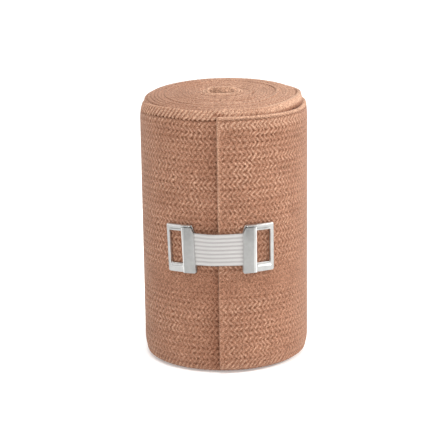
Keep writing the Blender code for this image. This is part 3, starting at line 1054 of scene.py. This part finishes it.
def clip_end(name, side, material):
    """One metal end in its place on the roll. Side is -1 left, 1 right."""
    end = flat_end()
    for vertex in end.verts:
        lean = LEFT_END_LEAN * vertex.co.y * (side < 0)
        vertex.co.x = CLIP_CENTRE + side * (MOUTH_GAP / 2 + vertex.co.x) - lean
    if side < 0:
        bmesh.ops.reverse_faces(end, faces=end.faces)
    low = min(vertex.co.x for vertex in end.verts)
    high = max(vertex.co.x for vertex in end.verts)
    steps = round((high - low) / WRAP_STEP)
    for step in range(1, steps):
        place = (low + (high - low) * step / steps, 0, 0)
        geometry = end.verts[:] + end.edges[:] + end.faces[:]
        bmesh.ops.bisect_plane(end, geom=geometry, plane_co=place, plane_no=(1, 0, 0), dist=WELD)
    bmesh.ops.triangulate(end, faces=end.faces[:])
    bmesh.ops.dissolve_degenerate(end, dist=WELD, edges=end.edges[:])
    bmesh.ops.triangulate(end, faces=end.faces[:])
    end.normal_update()
    # Lighter metal on the edges, walls and bend: partly polished wear, partly painted highlight and
    # reflection.
    polish_and_highlight = []
    for face in end.faces:
        inward = side * (face.calc_center_median().x - CLIP_CENTRE) - MOUTH_GAP / 2
        plain = PLATE_POLISH_AND_HIGHLIGHT if inward > WINDOW_START - BRIGHT_BEND else 0.0
        polish_and_highlight.append(1.0 if face.normal.z < LEVEL_NORMAL else plain)
    flat = np.array([vertex.co for vertex in end.verts])
    for vertex, place in zip(end.verts, wrapped(flat)):
        vertex.co = place
    mesh = bpy.data.meshes.new(name)
    end.to_mesh(mesh)
    end.free()
    mesh.attributes.new("polish_and_highlight", "FLOAT", "FACE").data.foreach_set("value", polish_and_highlight)
    mesh.materials.append(material)
    mesh.shade_smooth()
    mesh.set_sharp_from_angle(angle=SHARP_ANGLE)
    return in_scene(name, mesh)


def clip_elastic(material):
    """Ribbed elastic, thinner where it lies inside the two mouths."""
    length = MOUTH_GAP + 2 * ELASTIC_TUCK
    low, high = ELASTIC_FACE_INSET, 1 - ELASTIC_FACE_INSET
    along = np.linspace(0, 1, ELASTIC_STATIONS)[:, None]
    front = np.linspace(low, high, RIBS * RIB_POINTS + 1)
    back = np.linspace(high, low, ELASTIC_BACK_POINTS)
    across = np.concatenate([front, [1 - ELASTIC_EDGE_INSET], back, [ELASTIC_EDGE_INSET]])[None, :]
    side = np.concatenate([np.ones(len(front)), [0], -np.ones(len(back)), [0]])[None, :]
    inside = ELASTIC_TUCK + ELASTIC_SHOULDER - length * np.minimum(along, 1 - along)
    pinch = np.clip(inside / ELASTIC_SHOULDER, 0, 1)
    rib = (0.5 - 0.5 * np.cos(2 * math.pi * RIBS * across)) ** RIB_SHARPNESS
    thread = 0.5 + 0.5 * np.cos(2 * math.pi * (along * length / THREAD + 0.5 * np.floor(RIBS * across)))
    thickness = ELASTIC_THICKNESS * (1 - RIB_DEPTH * (1 - rib)) * (1 - pinch) + ELASTIC_IN_MOUTH * pinch
    middle = ELASTIC_THICKNESS / 2 * (1 - pinch) + SLEEVE_THICKNESS / 2 * pinch
    waist = 1 - 2 * ELASTIC_WAIST / ELASTIC_HEIGHT * np.sin(math.pi * along)
    out = middle + side * (thickness / 2 - THREAD_RELIEF * thread * (1 - pinch))
    x = np.broadcast_to(CLIP_CENTRE + length * (along - 0.5), out.shape)
    y = ELASTIC_HEIGHT * (across - 0.5) * waist
    shade = rib * (1 - THREAD_SHADE * thread) * (side > 0)
    ring = np.cumsum(np.full(across.shape[1], ELASTIC_TEXTURE_STEP))
    points = wrapped(np.stack([x, y, out], axis=-1))
    elastic = solid_strip("elastic_band", points, along[:, 0] * length / THREAD, ring, shade)
    elastic.data.materials.append(material)
    return elastic


def clip():
    metal, white = metal_material(), elastic_material()
    for name, side, node in (("clip_left", -1, "clip_end_left"), ("clip_right", 1, "clip_end_right")):
        end = clip_end(name, side, metal)
        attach(end, "root")
        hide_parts(node)
    band = clip_elastic(white)
    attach(band, "root")
    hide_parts("clip_elastic")


# ---------------------------------------------------------------- the studio


def backdrop():
    """A pale sheet that runs under the roll and curves up behind it."""
    profile = [(FLOOR_FRONT, 0.0), (FLOOR_BACK, 0.0)]
    for step in range(1, SWEEP_STEPS + 1):
        angle = math.radians(90 * step / SWEEP_STEPS)
        profile.append((FLOOR_BACK + SWEEP_RADIUS * math.sin(angle), SWEEP_RADIUS * (1 - math.cos(angle))))
    profile.append((FLOOR_BACK + SWEEP_RADIUS, BACK_TOP))
    sheet = bmesh.new()
    left = [sheet.verts.new((-FLOOR_SIDE, y, z - FLOOR_DROP)) for y, z in profile]
    right = [sheet.verts.new((FLOOR_SIDE, y, z - FLOOR_DROP)) for y, z in profile]
    for index in range(len(profile) - 1):
        sheet.faces.new((left[index], right[index], right[index + 1], left[index + 1]))
    mesh = bpy.data.meshes.new("backdrop")
    sheet.to_mesh(mesh)
    sheet.free()
    mesh.shade_smooth()
    mesh.materials.append(backdrop_material())
    obj = in_scene("backdrop", mesh)


def lighting():
    """A soft light well round to the right, one at the front left, one overhead, and a white room."""
    for name, (place, size, power, colour) in LIGHTS.items():
        light = bpy.data.lights.new(name, "AREA")
        light.shape = "SQUARE"
        light.size = size
        light.energy = power
        light.color = colour
        lamp = in_scene(name, light)
        lamp.location = place
        lamp.rotation_euler = (Vector(LIT_POINT) - Vector(place)).to_track_quat("-Z", "Y").to_euler()
    world = bpy.data.worlds.new("studio")
    world.use_nodes = True
    world.node_tree.nodes["Background"].inputs["Color"].default_value = (1.0, 1.0, 1.0, 1.0)
    world.node_tree.nodes["Background"].inputs["Strength"].default_value = SKY
    bpy.context.scene.world = world


def camera():
    """The view of the photograph: a little above level, its centre slightly off the picture's."""
    data = bpy.data.cameras.new("camera")
    data.sensor_width = SENSOR
    data.lens = FOCAL_PIXELS / IMAGE_SIDE * SENSOR
    data.shift_x = (IMAGE_SIDE / 2 - PRINCIPAL_X) / IMAGE_SIDE
    data.shift_y = (PRINCIPAL_Y - IMAGE_SIDE / 2) / IMAGE_SIDE
    data.clip_start, data.clip_end = CAMERA_RANGE
    eye = in_scene("camera", data)
    forward = Vector((0, math.cos(CAMERA_PITCH), -math.sin(CAMERA_PITCH)))
    eye.location = Vector((0, 0, CAMERA_AIM)) - CAMERA_DISTANCE * forward
    level = forward.to_track_quat("-Z", "Y").to_matrix().to_4x4()
    eye.rotation_euler = (level @ Matrix.Rotation(CAMERA_ROLL, 4, "Z")).to_euler()
    bpy.context.scene.camera = eye


bandage(cloth_material())
clip()
backdrop()
lighting()
camera()
bpy.context.scene.view_settings.view_transform = "Standard"
